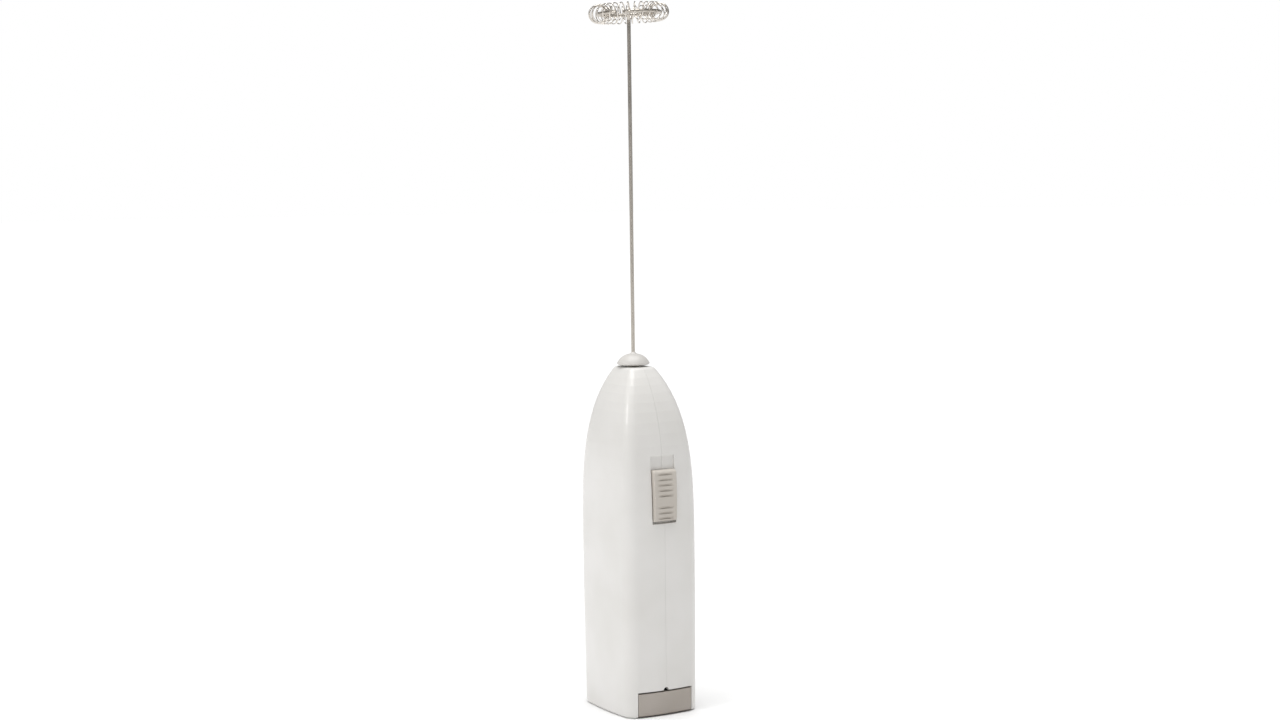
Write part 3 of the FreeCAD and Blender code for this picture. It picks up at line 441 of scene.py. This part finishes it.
# %% Dress the model's own pieces
finishes = {
    casing_white: ["casing_left", "casing_right"],
    cap_grey: ["splash_cap"],
    latch_grey: ["battery_lid"],
    slider_grey: ["switch_slider"],
    natural_white: ["drive_coupling"],
    terminal_board: ["motor_end_cap"],
    magnet_black: ["motor_magnets"],
    whisk_steel: ["whisk_rod"],
    nickel_strip: ["contact_positive", "contact_negative", "contact_switched", "contact_spring",
                   "switch_bridge", "lid_contact_plate", "lid_spring", "motor_terminal_front",
                   "motor_terminal_rear"],
    zinc_can: ["motor_can"],
    ground_steel: ["motor_shaft"],
    bush_bronze: ["motor_bush_lower", "motor_bush_upper"],
    turned_copper: ["commutator", "motor_brushes"],
    core_sheets: ["armature_core"],
    enamelled_wire: ["armature_windings"],
    front_cell: ["battery_cell_front"],
    rear_cell: ["battery_cell_rear"],
}
for material, names in finishes.items():
    for name in names:
        piece = frame["nodes"][name]
        if not piece.material_slots:
            piece.data.materials.append(material)
        for slot in piece.material_slots:
            slot.material = material
print("dressed", sum(len(names) for names in finishes.values()), "nodes")


# %% [markdown]
# The winding of the whisk is the one shape that the mechanical model keeps coarse, in short
# straight runs.  Here it is made smooth.  A curve object with a round bevel could do it too.  A
# mesh tube built ring by ring was chosen because it closes on itself without a seam, and because
# the mesh is ready to be measured and exported as it stands.

# %% Helpers: from data to an object, and a closed tube
def placed(name, data):
    """An object that holds the data, linked into the scene."""
    thing = bpy.data.objects.new(name, data)
    bpy.context.scene.collection.objects.link(thing)
    return thing


def built(name, maker):
    """The object of a mesh that has been put together corner by corner."""
    mesh = bpy.data.meshes.new(name)
    maker.to_mesh(mesh)
    maker.free()
    return placed(name, mesh)


def closing_twist(rings, sides):
    """How many corners the first ring is turned from the last one."""
    last = rings[-1][0].co
    return min(range(sides), key=lambda k: (rings[0][k].co - last).length)


def closed_tube(name, points, radius, sides, material):
    """A mesh tube through points that come back to the first one."""
    maker = bmesh.new()
    count = len(points)
    normal = Vector((0, 0, 1))
    rings = []
    for i, point in enumerate(points):
        way = (points[(i + 1) % count] - points[i - 1]).normalized()
        normal = (normal - way * normal.dot(way)).normalized()
        other = way.cross(normal)
        ring = []
        for k in range(sides):
            turn = math.tau * k / sides
            offset = normal * math.cos(turn) + other * math.sin(turn)
            ring.append(maker.verts.new(point + offset * radius))
        rings.append(ring)
    twist = closing_twist(rings, sides)
    for i, here in enumerate(rings):
        there = rings[(i + 1) % count]
        shift = twist if i == count - 1 else 0
        for k in range(sides):
            after = k + 1
            maker.faces.new((here[k], here[after % sides],
                             there[(after + shift) % sides], there[(k + shift) % sides]))
    bmesh.ops.recalc_face_normals(maker, faces=maker.faces)
    tube = built(name, maker)
    tube.data.shade_smooth()
    tube.data.materials.append(material)
    return tube


# %% [markdown]
# Thirty turns are wound round the ring's wire.  Each turn's place wanders by up to a tenth of a
# turn and its size by a few hundredths, which is enough to break the perfect rhythm of a computed
# spring.  The outside of the winding is read from the model, so that it fills the same space.

# %% Wind the whisk's coil
COIL_TURNS = 30
POINTS_PER_TURN = 36
WIRE_SIDES = 10
WIRE_RADIUS = 0.18 * MM
WANDER = 0.10               # of a turn
WANDER_PATCHES = 3.0        # how often the place changes round the ring
SLACK = 0.02                # of a turn's radius
SLACK_PATCHES = 6.0
ELSEWHERE = Vector((4.0, 0.0, 0.0))
turn_radius = max(abs(spot.dot(ring_up)) for spot in around_middle) - WIRE_RADIUS
ring_reach = max((spot - ring_up * spot.dot(ring_up)).length for spot in around_middle)
ring_radius = ring_reach - turn_radius - WIRE_RADIUS


def coil_point(share):
    """A point on the winding, share from 0 to 1 round the ring."""
    around = math.tau * share
    spot = Vector((math.cos(around), math.sin(around), 0.0))
    drift = noise.noise(spot * WANDER_PATCHES)
    loose = 1.0 - SLACK * (1.0 + noise.noise(spot * SLACK_PATCHES + ELSEWHERE))
    wound = math.tau * (COIL_TURNS * share + WANDER * drift)
    reach = ring_radius + turn_radius * loose * math.cos(wound)
    rise = turn_radius * loose * math.sin(wound)
    return ring_middle + (ring_side * spot.x + ring_ahead * spot.y) * reach + ring_up * rise


point_count = COIL_TURNS * POINTS_PER_TURN
coil_path = [coil_point(i / point_count) for i in range(point_count)]
winding = closed_tube("whisk_winding", coil_path, WIRE_RADIUS, WIRE_SIDES, coil_steel)
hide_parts("whisk_coil")
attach(winding, "whisk")
print("winding:", COIL_TURNS, "turns,", len(winding.data.polygons), "faces")


# %% [markdown]
# The floor is one wide round sheet of matt white paper.  It is large enough that its far edge
# melts into the white room.  Only a faint shadow where the object stands marks it.  A plain disc
# would do; rings that grow with distance put the corners where the object is.

# %% Paper floor
FLOOR_RADIUS = 6.0
FLOOR_RINGS = 12
FLOOR_SIDES = 48
PAPER_GRAIN = 900.0
PAPER_BUMP = 0.05


def paper_floor(radius, rings, sides):
    """A flat disc made of rings, finer towards the middle."""
    maker = bmesh.new()
    centre = maker.verts.new((0, 0, 0))
    turns = [math.tau * k / sides for k in range(sides)]
    previous = None
    for i in range(1, rings + 1):
        reach = radius * (i / rings) ** 2
        ring = [maker.verts.new((reach * math.cos(turn), reach * math.sin(turn), 0)) for turn in turns]
        for k in range(sides):
            after = (k + 1) % sides
            if previous:
                maker.faces.new((previous[k], ring[k], ring[after], previous[after]))
            else:
                maker.faces.new((centre, ring[k], ring[after]))
        previous = ring
    return built("paper_floor", maker)


paper = plastic("paper_white", (250, 250, 250), (247, 247, 247), smooth=0.9, rough=1.0,
                grain=PAPER_GRAIN, bump=PAPER_BUMP)
floor = paper_floor(FLOOR_RADIUS, FLOOR_RINGS, FLOOR_SIDES)
floor.data.materials.append(paper)
print("floor:", len(floor.data.polygons), "faces")


# %% [markdown]
# Light decides how the form reads.  A round lamp high on the left makes the broad side of the
# casing the brightest; the switch side is only grazed by it and stays a shade darker.  Overhead is
# a sun spread over fifty degrees, a soft glow that brightens the floor more than the upright sides
# and leaves hardly any shadow.  The room is shown to the lens as plain white but lights the object
# at a bit over a quarter of that strength, as a studio with dark flags beside the camera does.

# %% Lamps and the white room
WHITE = (1.0, 1.0, 1.0, 1.0)


def soft_lamp(name, place, aim, size, power):
    """A round lamp that faces the spot it is aimed at."""
    data = bpy.data.lights.new(name, "AREA")
    data.shape = "DISK"
    data.size = size
    data.energy = power
    lamp = placed(name, data)
    lamp.location = place
    lamp.rotation_euler = (Vector(aim) - Vector(place)).to_track_quat("-Z", "Y").to_euler()
    return lamp


def soft_sky(name, height, spread, power):
    """A sun straight overhead, spread so widely that its shadows are faint."""
    data = bpy.data.lights.new(name, "SUN")
    data.energy = power
    data.angle = math.radians(spread)
    lamp = placed(name, data)
    lamp.location = (0, 0, height)
    return lamp


def white_room(glow, shown):
    """A world that lights with one strength and shows itself to the lens with another."""
    world = bpy.data.worlds.new("white_room")
    world.use_nodes = True
    tree = world.node_tree
    lighting = tree.nodes["Background"]
    lighting.inputs["Color"].default_value = WHITE
    lighting.inputs["Strength"].default_value = glow
    seen = add(tree, "ShaderNodeBackground", sockets={"Color": WHITE, "Strength": shown})
    path = add(tree, "ShaderNodeLightPath")
    choose = add(tree, "ShaderNodeMixShader")
    tree.links.new(path.outputs["Is Camera Ray"], choose.inputs["Fac"])
    tree.links.new(lighting.outputs["Background"], choose.inputs[1])
    tree.links.new(seen.outputs["Background"], choose.inputs[2])
    tree.links.new(choose.outputs["Shader"], tree.nodes["World Output"].inputs["Surface"])
    bpy.context.scene.world = world


left_lamp = soft_lamp("left_lamp", place=(-1.2, -0.12, 0.86), aim=(0.0, 0.0, 0.08), size=0.4, power=4.3)
overhead = soft_sky("overhead_glow", height=2.0, spread=50, power=2.75)
white_room(glow=0.28, shown=1.0)
bpy.context.scene.view_settings.view_transform = "Standard"
print("lights:", left_lamp.name, overhead.name)

# %% [markdown]
# The camera stands a little above the middle of the object and looks slightly down, with a short
# telephoto lens.  A real tripod is never quite level: a small roll keeps that.  Its place is
# measured from the whisk's axis, so that it would follow if the model's axis moved.

# %% Camera
VIEW_AZIMUTH = -29.4        # degrees round the axis, from straight in front of the switch
CAMERA_DISTANCE = 0.697     # from the axis
CAMERA_HEIGHT = 0.174
AIM_HEIGHT = 0.1097
SIDE_AIM = 0.0021           # to the right of the axis
ROLL = -0.75                # degrees
LENS = 62.8                 # focal length, which Blender counts in millimetres
camera_data = bpy.data.cameras.new("camera")
camera_data.lens = LENS
camera = placed("camera", camera_data)
view = math.radians(VIEW_AZIMUTH)
toward = Vector((math.sin(view), -math.cos(view), 0))
right = Vector((math.cos(view), math.sin(view), 0))
foot = Vector((AXIS.x, AXIS.y, 0.0))
camera.location = foot + toward * CAMERA_DISTANCE + Vector((0, 0, CAMERA_HEIGHT))
aim = foot + Vector((0, 0, AIM_HEIGHT)) + right * SIDE_AIM
turn = (aim - camera.location).to_track_quat("-Z", "Y")
camera.rotation_euler = (turn.to_matrix() @ Matrix.Rotation(math.radians(ROLL), 3, "Z")).to_euler()
bpy.context.scene.camera = camera
print("camera at", tuple(round(share, 3) for share in camera.location))
